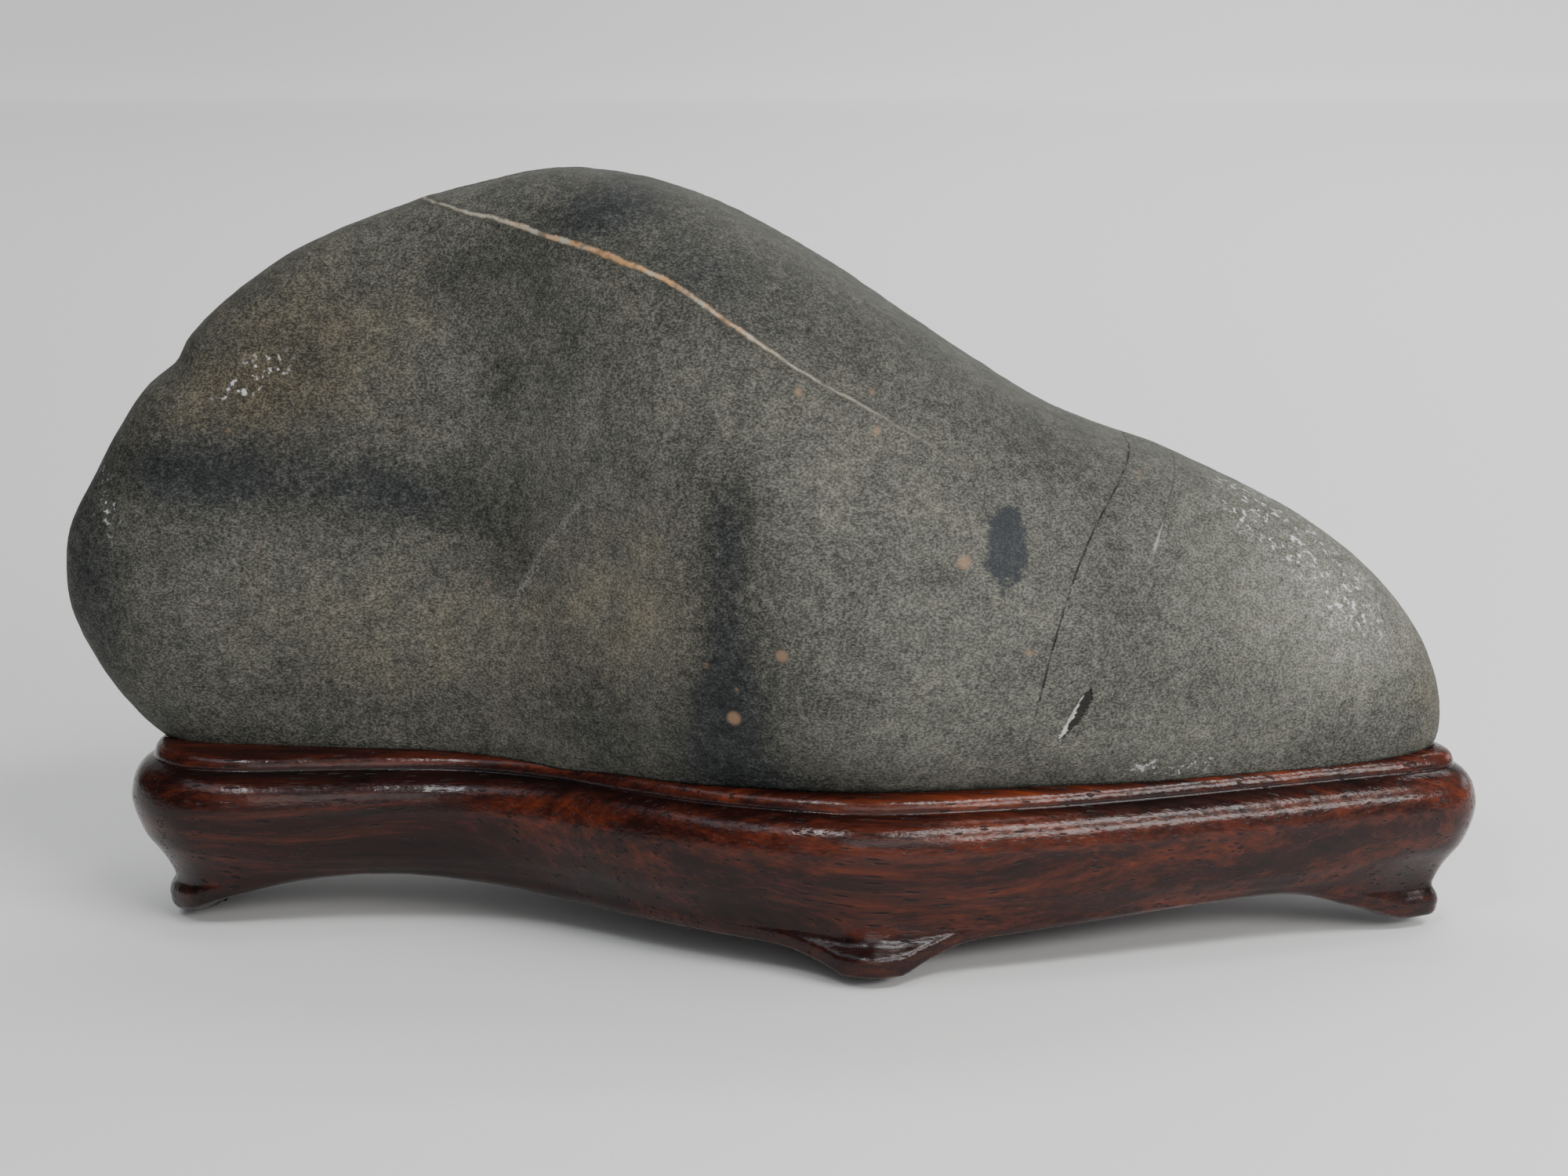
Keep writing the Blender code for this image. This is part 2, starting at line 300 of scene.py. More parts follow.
vein, vein_run = path_distance(VEIN)
crack, crack_run = path_distance(CRACK)
scratch, scratch_run = path_distance(SCRATCH)
chip, chip_run = path_distance(CHIP)
faint, _ = path_distance(FAINT_LINE)
rust = spots_distance(RUST_SPOTS)
print("vein reaches", round(float(np.abs(vein).min()), 3), "mm from the nearest corner")

# %% [markdown]
# ## The stone's skin in the mesh
#
# Water leaves a stone gently uneven at every scale. Three sizes of noise are added along
# the normals, each much weaker than the one before it, then the marks that can be felt with
# a fingernail: pits, the chip, the crack and the proud vein. Below the rim the skin is left
# even, so that the stone still fits its seat.


# %% Wear the surface
WORN_ABOVE = (30.5, 34.0)  # the heights where the wear begins and where it is full


def lumps(size, octaves=1):
    """Noise between about -1 and 1 with lumps of the given size in millimetres."""
    if octaves == 1:
        return np.array([noise.noise(Vector(place) / size) for place in places])
    return np.array([noise.fractal(Vector(place) / size, 1.0, 2.0, octaves) for place in places])


def along_line(distance, width):
    """1 on a line and fading to 0 over its width."""
    return np.exp(-((distance / width) ** 2))


push = 0.45 * lumps(34.0) + 0.16 * lumps(9.0) + 0.10 * lumps(3.2, octaves=3)
push += 0.18 * along_line(vein, 0.9) * fade(1.0, 0.7, vein_run)
push -= 0.35 * fade(0.0, 3.0, vein) * fade(16.0, 5.0, vein) * fade(0.98, 0.8, vein_run)
push -= 0.28 * along_line(crack, 0.8) * fade(0.0, 0.1, crack_run) * fade(1.0, 0.85, crack_run)
push -= 0.8 * along_line(chip, 0.4 + 0.7 * np.sin(np.pi * np.clip(chip_run, 0.05, 0.95)))
for at_x, at_z, radius, depth in PITS:
    away = np.hypot(flat[:, 0] - at_x, flat[:, 1] - at_z)
    push -= np.where(front, depth * np.exp(-((away / radius) ** 2)), 0.0)
push *= fade(*WORN_ABOVE, places[:, 2])

low, high = (np.array(corner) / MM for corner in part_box("stone"))
worn = np.clip(places + normals * push[:, None], low, high)
for vert, place in zip(stone_grid.verts, worn):
    vert.co = Vector(place) * MM
print("skin moved by", round(float(push.min()), 2), "to", round(float(push.max()), 2), "mm")

# %% [markdown]
# ## Stains, tones, painted shade and painted light
#
# Long handling and the river left dark clouds, paler fields and warmer patches. Painted shade
# and painted light go into the same numbers: narrow dark clouds down the left edge, which is
# turned from the lights, and a pale field on the nose, which faces them. All are far larger
# than the grain, so they are kept as one number for each corner of the mesh: sums of soft
# ellipses. The shader later breaks their edges up with its own noise.


# %% Soft clouds of tone
def clouds(table):
    """Sum of soft tilted ellipses: (x, z, reach along, reach across, tilt, strength)."""
    total = np.zeros(len(flat))
    for x, z, reach_along, reach_across, tilt, strength in table:
        turn = math.radians(tilt)
        dx, dz = flat[:, 0] - x, flat[:, 1] - z
        along = dx * math.cos(turn) + dz * math.sin(turn)
        across = dz * math.cos(turn) - dx * math.sin(turn)
        total += strength * np.exp(-((along / reach_along) ** 2) - (across / reach_across) ** 2)
    return total


# Dark stains, and in the narrow clouds down the left edge (x near -120) painted shade on the side
# turned from the lights.
DARK_STAINS_AND_SHADE = (
    (-99.0, 80.0, 15.0, 7.0, -3.0, 1.1), (-66.0, 78.0, 18.0, 7.0, -8.0, 0.85),
    (-24.0, 87.0, 11.0, 4.5, 0.0, 0.25), (-7.0, 78.0, 5.0, 14.0, 0.0, 0.65),
    (-7.0, 57.0, 6.0, 16.0, 4.0, 0.7), (-8.0, 43.0, 8.5, 11.0, 0.0, 0.85),
    (-2.0, 32.0, 15.0, 6.0, 0.0, 0.8), (-30.0, 42.0, 7.0, 10.0, 12.0, 0.6),
    (-30.0, 126.5, 11.0, 4.0, 18.0, 0.75), (-55.0, 115.0, 10.0, 5.0, 15.0, 0.5),
    (-46.0, 98.0, 3.0, 6.0, 0.0, 0.5), (27.0, 70.5, 5.5, 2.2, 4.0, 0.45),
    (-44.0, 70.0, 5.0, 8.0, 30.0, 0.4), (12.0, 47.0, 12.0, 4.0, 0.0, 0.25),
    (56.0, 64.0, 6.0, 10.0, 20.0, 0.2), (44.0, 88.0, 14.0, 3.5, -28.0, 0.3),
    (-120.0, 66.0, 6.0, 16.0, 0.0, 0.5), (-60.0, 92.0, 7.0, 4.0, 10.0, 0.3),
    (-11.0, 118.0, 18.0, 7.0, -30.0, 0.6),
    (-86.0, 97.0, 18.0, 12.0, 30.0, 0.35), (-76.0, 40.0, 28.0, 9.0, 0.0, 0.3),
    (-118.0, 52.0, 8.0, 16.0, 0.0, 0.4), (104.0, 38.0, 14.0, 8.0, 10.0, 0.35),
    (14.0, 106.0, 14.0, 6.0, -34.0, 0.25),
)
# Pale fields, and over the nose (x 94 to 102) painted light where it faces the lamps.
PALE_FIELDS_AND_LIGHT = (
    (94.0, 62.0, 26.0, 16.0, -38.0, 0.9), (102.0, 52.0, 14.0, 12.0, 0.0, 0.35),
    (34.0, 58.0, 26.0, 20.0, 0.0, 0.3), (4.0, 70.0, 5.5, 18.0, 0.0, 0.3),
    (24.0, 40.0, 20.0, 8.0, 0.0, 0.3), (70.0, 36.0, 26.0, 8.0, 0.0, 0.35),
    (-30.0, 66.0, 14.0, 12.0, 0.0, 0.3), (-56.0, 52.0, 26.0, 10.0, 0.0, 0.25),
    (-42.0, 96.0, 26.0, 9.0, 0.0, 0.15), (-20.0, 60.0, 8.0, 12.0, 0.0, 0.35),
    (-28.0, 86.0, 12.0, 7.0, 0.0, 0.3), (4.0, 90.0, 26.0, 10.0, -30.0, 0.2),
)
WARM_CLOUDS = (
    (-84.0, 100.0, 30.0, 18.0, 24.0, 0.8), (-93.0, 93.0, 10.0, 5.0, 10.0, 0.3),
    (-60.0, 52.0, 46.0, 20.0, 0.0, 0.5), (-22.0, 66.0, 14.0, 16.0, 0.0, 0.4),
    (0.0, 100.0, 40.0, 12.0, -30.0, 0.3), (117.0, 42.0, 6.0, 12.0, 0.0, 0.5),
)
# Frost-pale dabs; those on the nose and at the left edge are painted highlight, where the smooth
# skin catches the lamps.
FROST_AND_HIGHLIGHT_CLOUDS = (
    (-87.0, 99.0, 4.5, 3.0, 10.0, 0.9), (-92.0, 95.0, 6.0, 2.4, 20.0, 0.8),
    (84.0, 74.5, 9.0, 4.0, -35.0, 1.0), (98.0, 62.0, 12.0, 4.5, -50.0, 0.9),
    (68.0, 33.5, 9.0, 2.6, 0.0, 0.8), (-116.0, 74.0, 2.5, 8.0, 15.0, 0.7),
    (88.0, 46.0, 20.0, 14.0, 0.0, 0.25), (-108.0, 98.0, 8.0, 3.0, 50.0, 0.6),
)
INK_CENTRE = (39.0, 73.8)
INK_REACH = (3.3, 6.6)
behind = 0.25 * lumps(26.0)
dark = np.where(front, clouds(DARK_STAINS_AND_SHADE), 0.25) + np.where(front, 0.0, behind)
pale = np.where(front, clouds(PALE_FIELDS_AND_LIGHT), 0.25) + np.where(front, 0.0, -behind)
tone = pale - dark
warm = clouds(WARM_CLOUDS)
frost = clouds(FROST_AND_HIGHLIGHT_CLOUDS)
ink = np.hypot(*((flat - INK_CENTRE) / INK_REACH).T) - 1.0
ink = np.where(front, ink, FAR_AWAY)
print("tone runs from", round(float(tone.min()), 2), "to", round(float(tone.max()), 2))


# %% [markdown]
# ## The stone as a piece
#
# The numbers worked out so far are stored on the mesh itself, one for each corner, under
# names that the material can read. Painting a picture and wrapping it round the stone would
# do the same job, but it would need a flattened map of the stone and would have seams. The
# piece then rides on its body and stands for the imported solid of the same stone.


# %% Make the stone piece
def paint(mesh, name, values):
    """Keep one number for each corner of a mesh under a name the shader can read."""
    layer = mesh.attributes.new(name, "FLOAT", "POINT")
    layer.data.foreach_set("value", np.asarray(values, dtype=np.float32))


def new_piece(name, mesh, body, slot, *replaced):
    """An object that rides on a body and stands for the CAD nodes it replaces."""
    piece = bpy.data.objects.new(name, mesh)
    bpy.context.scene.collection.objects.link(piece)
    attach(piece, body)
    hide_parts(*replaced)
    return piece


river_stone_mesh = bpy.data.meshes.new("river_stone")
stone_grid.to_mesh(river_stone_mesh)
stone_grid.free()
river_stone_mesh.shade_smooth()
for name, values in (
    ("vein", vein), ("vein_run", vein_run), ("crack", crack), ("crack_run", crack_run),
    ("scratch", scratch), ("scratch_run", scratch_run), ("chip", chip), ("chip_run", chip_run),
    ("faint", faint), ("rust", rust), ("ink", ink), ("tone", tone), ("warm", warm),
    ("frost", frost),
):
    paint(river_stone_mesh, name, values)
river_stone = new_piece("river_stone", river_stone_mesh, "stone", "river_stone", "stone")
print(river_stone.name, len(river_stone_mesh.polygons), "faces")

# %% [markdown]
# ## The stand's form
#
# A carver saws the plan, runs the moulding round it and then cuts the apron away between
# the feet. The mesh is made in that order too: stations round the plan, each with its own
# section. Between the feet the section ends in the apron's edge, and at a foot it runs on
# through the ankle to the toe. A loft is the right tool here, because no primitive or
# modifier changes its section along the way.

# %% The stand's measures
RIM_HEIGHT = 31.0
UNDERSIDE_HEIGHT = 9.6
APRON_EDGE = 8.6
APRON_DEPTH = 9.0
FOOT_DEPTH = 17.4
TOE_FADE = 2.0  # exponent: how soon a toe gives way to the apron beside it
# (x, y, height of the lowest edge, how far the toe kicks out), anticlockwise.
STAND_PLAN = (
    (124.9, -1.0, 0.0, 0.0), (123.8, 5.6, -0.3, 0.0), (119.0, 13.2, 0.0, 0.0),
    (109.8, 21.8, 2.2, 0.0), (96.0, 29.8, 6.6, 0.0), (78.0, 36.8, 8.0, 0.0),
    (54.0, 43.2, 7.0, 0.0), (38.0, 45.6, 6.0, 0.4), (27.0, 46.9, 4.6, 1.2),
    (20.5, 47.4, 2.2, 2.8), (15.5, 47.7, -0.1, 5.0), (11.0, 47.8, -0.5, 6.2),
    (6.5, 47.7, -0.1, 5.0), (1.5, 47.4, 2.2, 2.8), (-5.0, 46.8, 4.6, 1.2),
    (-18.0, 45.4, 6.0, 0.4), (-40.0, 43.2, 7.2, 0.0), (-66.0, 41.6, 8.4, 0.0),
    (-86.0, 40.4, 7.4, 0.0), (-99.6, 34.6, 3.4, 0.0), (-108.2, 26.0, 0.0, 0.0),
    (-113.2, 16.0, -0.3, 0.0), (-114.9, 7.0, -0.3, 0.0), (-112.4, -1.2, 0.0, 0.0),
    (-105.4, -7.6, 1.4, 0.0), (-94.4, -10.0, 4.8, 0.0), (-82.0, -9.6, 7.4, 0.0),
    (-68.0, -8.9, 8.4, 0.0), (-54.0, -9.6, 7.2, 0.0), (-41.0, -13.8, 5.7, 0.0),
    (-28.0, -21.6, 5.0, 0.0), (-13.0, -29.2, 4.6, 0.4), (0.0, -33.5, 3.7, 1.2),
    (7.0, -35.2, 1.8, 2.8), (12.0, -36.2, -0.1, 5.0), (17.0, -36.5, -0.5, 6.2),
    (22.0, -36.3, -0.1, 5.0), (27.5, -35.7, 2.4, 2.8), (35.0, -34.5, 4.8, 1.2),
    (52.0, -31.0, 6.2, 0.4), (74.0, -24.2, 7.4, 0.0), (92.0, -18.0, 7.6, 0.0),
    (104.0, -13.9, 4.0, 0.0), (114.2, -10.4, 0.2, 0.0), (121.8, -6.6, 0.0, 0.0),
)
# (distance in from the widest line, depth below the lip, rub and shade: above 0 painted
# redder, as rubbed wear and painted light on the crests; below 0 painted darker, as painted
# shade in the groove).
RIM_SECTION = (
    (7.0, 0.0, 0.2), (6.1, 0.15, 0.5), (5.3, 0.55, 0.9), (4.7, 1.2, 1.0), (4.3, 2.1, 0.5),
    (4.15, 2.9, -1.0), (3.5, 3.3, -0.8), (2.4, 4.05, 0.0), (1.3, 5.3, 0.8), (0.5, 7.0, 1.0),
    (0.0, 9.8, 0.4), (0.3, 12.2, 0.0), (1.0, 14.4, 0.0),
)
# (distance in, height above the apron's edge).
APRON_SECTION = (
    (2.4, 4.0), (3.2, 2.6), (3.8, 1.6), (4.3, 1.0), (4.6, 0.6), (4.9, 0.3), (5.3, 0.1),
    (6.0, 0.0), (8.2, 0.0),
)
# (distance in, height above the ground, share of the toe's kick, rub and shade: redder on
# the toe, darker as painted shade in the cove above it).
FOOT_SECTION = (
    (2.2, 13.9, 0.0, 0.0), (3.9, 11.6, 0.15, 0.0), (5.5, 9.3, 0.4, -0.2),
    (6.6, 7.2, 0.65, -0.5), (7.1, 5.5, 0.85, -0.8), (6.2, 3.7, 1.0, 0.3),
    (6.1, 2.0, 1.0, 0.6), (7.6, 0.0, 1.0, -0.2), (16.0, 0.0, 0.4, 0.0),
)


# %% Stations, sections and rings
STAND_STATIONS = 560


def stand_stations(count):
    """Evenly spaced stations of the plan, each with its inward direction."""
    curve = smooth_curve(STAND_PLAN)
    loop = np.vstack((curve, curve[:1]))
    run = np.concatenate(([0.0], np.cumsum(np.hypot(*np.diff(loop[:, :2], axis=0).T))))
    spots = np.linspace(0.0, run[-1], count, endpoint=False)
    stations = np.stack([np.interp(spots, run, column) for column in loop.T], axis=1)
    along = np.roll(stations[:, :2], -1, axis=0) - np.roll(stations[:, :2], 1, axis=0)
    along /= np.linalg.norm(along, axis=1, keepdims=True)
    inward = np.stack((-along[:, 1], along[:, 0]), axis=1)
    return stations, inward


def stand_sections(steps):
    """The apron's and the foot's whole sections, smoothed: (inset, height, share, rub and painted
    shade).
    """
    rim = [(inset, RIM_HEIGHT - depth, 0.0, rubbed_and_shaded) for inset, depth, rubbed_and_shaded in RIM_SECTION]
    apron = rim + [(inset, APRON_EDGE + height, 0.0, 0.0) for inset, height in APRON_SECTION]
    apron.append((APRON_DEPTH, UNDERSIDE_HEIGHT, 0.0, 0.0))
    foot = rim + list(FOOT_SECTION)
    foot.append((FOOT_DEPTH, UNDERSIDE_HEIGHT, 0.0, 0.0))
    return (smooth_curve(section, closed=False, steps=steps) for section in (apron, foot))


def stand_rings(count, steps):
    """Rings of points down the outside, under and up the inside, with each one's rub and painted
    shade.
    """
    stations, inward = stand_stations(count)
    edge = np.clip(stations[:, 2], 0.0, APRON_EDGE)
    kick = np.clip(stations[:, 3], 0.0, None)
    footness = 1.0 - edge / APRON_EDGE
    rings = []
    for apron, foot in zip(*stand_sections(steps)):
        inset = apron[0] + footness**TOE_FADE * (foot[0] - apron[0]) - foot[2] * kick
        height = apron[1] + footness * (foot[1] - apron[1])
        rubbed_and_shaded = apron[3] + footness**TOE_FADE * (foot[3] - apron[3])
        plan = stations[:, :2] + inward * inset[:, None]
        rings.append(np.column_stack((plan, np.clip(height, 0.0, None), rubbed_and_shaded)))
    return rings


# %% [markdown]
# The loft is closed above and below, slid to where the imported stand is, and gently unevened
# as hand tools leave it. The waves are sunk a little into the block, since a knife only
# takes wood away, and fade out towards the ground, so that the feet still stand flat.

# %% Loft the stand
SECTION_STEPS = 4
CARVING_SINK = 0.06

rings = stand_rings(STAND_STATIONS, SECTION_STEPS)
ring_points = np.concatenate([ring[:, :3] for ring in rings])
stand_low, stand_high = (np.array(corner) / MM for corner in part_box("stand"))
own_low, own_high = ring_points.min(axis=0), ring_points.max(axis=0)
to_frame = (stand_low + stand_high) / 2.0 - (own_low + own_high) / 2.0
to_frame[2] = 0.0

loft = bmesh.new()
rub_and_shade_layer = loft.verts.layers.float.new("rub")
rows = []
for ring in rings:
    row = []
    for x, y, z, rubbed_and_shaded in ring:
        place = Vector((x, y, z)) + Vector(to_frame)
        vert = loft.verts.new(place)
        vert[rub_and_shade_layer] = rubbed_and_shaded
        row.append(vert)
    rows.append(row)
for upper, lower in zip(rows, rows[1:]):
    for i in range(STAND_STATIONS):
        j = (i + 1) % STAND_STATIONS
        loft.faces.new((upper[i], lower[i], lower[j], upper[j]))
loft.faces.new(rows[0])
loft.faces.new(reversed(rows[-1]))
bmesh.ops.recalc_face_normals(loft, faces=loft.faces[:])
loft.normal_update()
carved = rows[1:-SECTION_STEPS]
for row in carved:
    for vert in row:
        above_ground = min(vert.co.z / 2.0, 1.0)
        wave = 0.10 * noise.noise(vert.co / 14.0) + 0.05 * noise.noise(vert.co / 4.0)
        vert.co += vert.normal * (wave - CARVING_SINK) * above_ground
for vert in loft.verts:
    vert.co *= MM
rosewood_mesh = bpy.data.meshes.new("rosewood_stand")
loft.to_mesh(rosewood_mesh)
loft.free()
print("stand loft:", len(rosewood_mesh.polygons), "faces")

# %% [markdown]
# ## The seat
#
# The seat is a hollow that follows the stone all round. Building its wall by hand would mean
# finding where the stone meets every station; a Boolean with a slightly swollen stone does
# it exactly, as the carver does by trying the stone in the wood again and again.

# %% Cut the seat
SEAT_CLEARANCE = 0.35
SEAT_CUTTER_CELLS = (96, 36, 48)
CREASE_ANGLE = math.radians(50.0)


def swollen_stone(name, cells, grow):
    """A closed stone, grown outwards, to cut the seat with."""
    grid = stone_mesh(cells)
    bmesh.ops.triangulate(grid, faces=grid.faces[:])
    grid.normal_update()
    for vert in grid.verts:
        vert.co = (vert.co + vert.normal * grow) * MM
    mesh = bpy.data.meshes.new(name)
    grid.to_mesh(mesh)
    grid.free()
    cutter = bpy.data.objects.new(name, mesh)
    bpy.context.scene.collection.objects.link(cutter)
    return cutter


seat_cutter = swollen_stone("seat_cutter", SEAT_CUTTER_CELLS, SEAT_CLEARANCE)
blank = bpy.data.objects.new("stand_blank", rosewood_mesh)
bpy.context.scene.collection.objects.link(blank)
seat = blank.modifiers.new("seat", "BOOLEAN")
seat.operation = "DIFFERENCE"
seat.solver = "EXACT"
seat.object = seat_cutter
depsgraph = bpy.context.evaluated_depsgraph_get()
carved_mesh = bpy.data.meshes.new_from_object(blank.evaluated_get(depsgraph))
carved_mesh.name = "rosewood_stand"
bpy.data.objects.remove(blank)
bpy.data.objects.remove(seat_cutter)
carved_mesh.shade_smooth()
carved_mesh.set_sharp_from_angle(angle=CREASE_ANGLE)
rosewood_stand = new_piece("rosewood_stand", carved_mesh, "stand", "waxed_rosewood", "stand")
print(rosewood_stand.name, len(carved_mesh.polygons), "faces")

# %% [markdown]
# ## Shader maths as ordinary maths
#
# A material is a graph of nodes, and a sum such as 1 - mask takes a node of its own. The
# small class below wraps one output socket and gives it the usual operators, so that a
# material reads as formulas. Any other node comes from its one method, node.


# %% A socket that does arithmetic
class Wire:
    """An output socket of a material's node tree."""

    def __init__(self, tree, socket=None):
        self.tree = tree
        self.socket = socket

    def node(self, kind, settings=None, inputs=None, output=0):
        """Add a node: settings first, then a value or a wire for each socket."""
        made = self.tree.nodes.new(kind)
        for key, value in (settings or {}).items():
            if key == "stops":
                self.set_stops(made.color_ramp, value)
            else:
                setattr(made, key, value)
        for key, value in (inputs or {}).items():
            if isinstance(value, Wire):
                self.tree.links.new(value.socket, made.inputs[key])
            else:
                made.inputs[key].default_value = value
        return Wire(self.tree, made.outputs[output])

    @staticmethod
    def set_stops(ramp, stops):
        """Give a colour ramp its (place, colour) stops."""
        while len(ramp.elements) > 1:
            ramp.elements.remove(ramp.elements[-1])
        ramp.elements[0].position = stops[0][0]
        ramp.elements[0].color = (*stops[0][1], 1.0)
        for place, colour in stops[1:]:
            ramp.elements.new(place).color = (*colour, 1.0)

    def math(self, operation, *values):
        """A Math node on these values or wires."""
        return self.node("ShaderNodeMath", {"operation": operation}, dict(enumerate(values)))

    def __add__(self, other):
        return self.math("ADD", self, other)

    __radd__ = __add__

    def __sub__(self, other):
        return self.math("SUBTRACT", self, other)

    def __rsub__(self, other):
        return self.math("SUBTRACT", other, self)

    def __mul__(self, other):
        return self.math("MULTIPLY", self, other)

    __rmul__ = __mul__

    def __abs__(self):
        return self.math("ABSOLUTE", self)

    def most(self, other):
        """The larger of this and another."""
        return self.math("MAXIMUM", self, other)

    def rise(self, low, high):
        """0 at low, 1 at high and an S between; low may be above high."""
        return self.node(
            "ShaderNodeMapRange",
            {"interpolation_type": "SMOOTHSTEP"},
            {"Value": self, "From Min": low, "From Max": high, "To Min": 0.0, "To Max": 1.0},
        )

    def mix(self, first, second):
        """The first colour where this is 0 and the second where it is 1."""
        colours = [c if isinstance(c, Wire) else (*c, 1.0) for c in (first, second)]
        return self.node(
            "ShaderNodeMix",
            {"data_type": "RGBA", "clamp_factor": True},
            {0: self, 6: colours[0], 7: colours[1]},
            output=2,
        )

    def stretch(self, factors):
        """This vector with each of its axes multiplied."""
        return self.node("ShaderNodeVectorMath", {"operation": "MULTIPLY"}, {0: self, 1: factors})

    def shift(self, other):
        """This vector plus another."""
        return self.node("ShaderNodeVectorMath", {"operation": "ADD"}, {0: self, 1: other})

    def noise(self, size, detail=2.0, rough=0.5):
        """Noise at these coordinates, about 0 to 1, with lumps of the given size."""
        inputs = {"Vector": self, "Scale": 1.0 / size, "Detail": detail, "Roughness": rough}
        return self.node("ShaderNodeTexNoise", {}, inputs)

    def painted(self, name):
        """A number that the mesh keeps for each of its corners."""
        return self.node("ShaderNodeAttribute", {"attribute_name": name}, {}, output="Fac")


def new_finish(name):
    """An empty material: its shader, a starting wire and its coordinates in millimetres."""
    material = bpy.data.materials.new(name)
    material.use_nodes = True
    tree = material.node_tree
    shader = tree.nodes["Principled BSDF"]
    start = Wire(tree)
    coords = start.node("ShaderNodeTexCoord", output="Object").stretch((1.0 / MM,) * 3)
    return material, shader, start, coords


def connect(shader, **wires):
    """Join wires to a shader's sockets, or set plain values on them."""
    for name, value in wires.items():
        socket = shader.inputs[name.replace("_", " ")]
        if isinstance(value, Wire):
            value.tree.links.new(value.socket, socket)
        else:
            socket.default_value = value


# %% [markdown]
# ## The stone's finish
#
# Close to, the stone is a salt-and-pepper of grains about half a millimetre across. From a
# little further off one sees the clouds of stain and of painted shade and light, and only
# then the vein and the marks. The material is built in that order, from the grain up. It is
# rough all over, with the wet gloss long gone, but handled places keep a slight sheen.

# %% Stone grain and clouds
stone_finish, stone_shader, start, mm = new_finish("river_stone_finish")

fine = mm.stretch((0.75, 1.0, 1.15)).noise(0.36, detail=3.0, rough=0.6)
pepper = mm.stretch((0.85, 1.0, 1.0)).noise(0.80, detail=3.0, rough=0.7).rise(0.55, 0.68)
fleck = mm.stretch((0.8, 1.0, 1.1)).noise(1.15, detail=3.0, rough=0.6)
coarse = mm.noise(1.9, detail=2.0)
mottle = mm.noise(7.0, detail=3.0)
painted_tone = start.painted("tone")
# The dark end of the tone: real stains, and the painted shade down the left edge.
stain_and_shade = painted_tone.rise(0.05, -0.80)
tone = painted_tone + (mottle - 0.5) * 0.9 + (fleck - 0.5) * (0.5 + 1.5 * stain_and_shade)
grain = fine.rise(0.35, 0.65)
lightness = grain * 0.34 + coarse.rise(0.25, 0.75) * 0.12 + tone * 0.25 + 0.25
lightness = lightness - pepper * (0.14 + 0.12 * stain_and_shade)
grey = lightness.node(
    "ShaderNodeValToRGB",
    {
        "stops": (
            (0.0, (0.0055, 0.0060, 0.0058)),
            (0.30, (0.027, 0.0275, 0.0235)),
            (0.55, (0.081, 0.081, 0.068)),
            (0.80, (0.170, 0.168, 0.143)),
            (1.0, (0.31, 0.305, 0.265)),
        )
    },
    {"Fac": lightness},
)


def tint(factor, base, colour):
    """Multiply a colour by another where factor says so."""
    settings = {"data_type": "RGBA", "blend_type": "MULTIPLY"}
    return factor.node("ShaderNodeMix", settings, {0: factor, 6: base, 7: (*colour, 1.0)}, output=2)


WARM_TINT = (1.14, 0.98, 0.76)
COLD_TINT = (0.86, 0.92, 1.08)
warm = (start.painted("warm") + (mottle - 0.5) * 0.8).rise(0.0, 1.3)
stone_colour = tint(warm, grey, WARM_TINT)
stone_colour = tint(painted_tone.rise(-0.30, -1.0), stone_colour, COLD_TINT)

# %% [markdown]
# The vein is quartz with some iron in it: cream where it is pure and orange where it has
# rusted, thick on the left and thinning out to nothing. Its edges wander by a grain or so,
# and along it a dark band is painted shadow of the proud vein.
# The crack is a dark hairline, and the scratch starts as one and ends in a pale graze. Each
# mask is a width compared with the signed distance that the mesh keeps.

# %% Vein
QUARTZ, RUSTED_QUARTZ = (0.33, 0.30, 0.235), (0.42, 0.225, 0.095)
VEIN_PAINTED_SHADOW = (0.020, 0.019, 0.016)
wander = (fine - 0.5) * 0.9 + (coarse - 0.5) * 0.5
run = start.painted("vein_run")
vein_gap = start.painted("vein") + (mm.noise(5.0) - 0.5) * 1.0
vein_width = 0.06 + 0.30 * run.rise(0.02, 0.20) * run.rise(0.72, 0.36)
vein_mask = (abs(vein_gap) + wander * 0.8).rise(vein_width + 0.26, vein_width - 0.20)
vein_mask = vein_mask * run.rise(0.98, 0.60) * (0.35 + 0.65 * mm.noise(2.2).rise(0.30, 0.55))
rusted = run.rise(0.12, 0.26) * run.rise(0.66, 0.44) * mm.noise(3.0).rise(0.30, 0.62)
vein_colour = rusted.mix(QUARTZ, RUSTED_QUARTZ)
# Painted shadow: a dark band along the proud vein.
vein_painted_shadow = (vein_gap + wander).rise(1.6, 0.3) * (vein_gap + wander).rise(-0.9, -0.2)
stone_colour = (vein_painted_shadow * run.rise(0.9, 0.5) * 0.35).mix(stone_colour, VEIN_PAINTED_SHADOW)
stone_colour = vein_mask.mix(stone_colour, vein_colour)

# %% Crack, scratch and spots
CRACK_BLACK, SCRATCH_BLACK = (0.008, 0.008, 0.008), (0.02, 0.02, 0.02)
GRAZED, INK_STAIN = (0.30, 0.295, 0.25), (0.016, 0.020, 0.026)
RUST_BROWN, FROST_AND_HIGHLIGHT_WHITE = (0.25, 0.155, 0.095), (0.55, 0.56, 0.56)
crack_mask = abs(start.painted("crack") + wander * 0.35).rise(0.24, 0.05)
crack_run = start.painted("crack_run")
crack_mask = crack_mask * crack_run.rise(1.0, 0.70) * (0.30 + 0.70 * mm.noise(2.5).rise(0.35, 0.6))
stone_colour = (crack_mask * 0.9).mix(stone_colour, CRACK_BLACK)

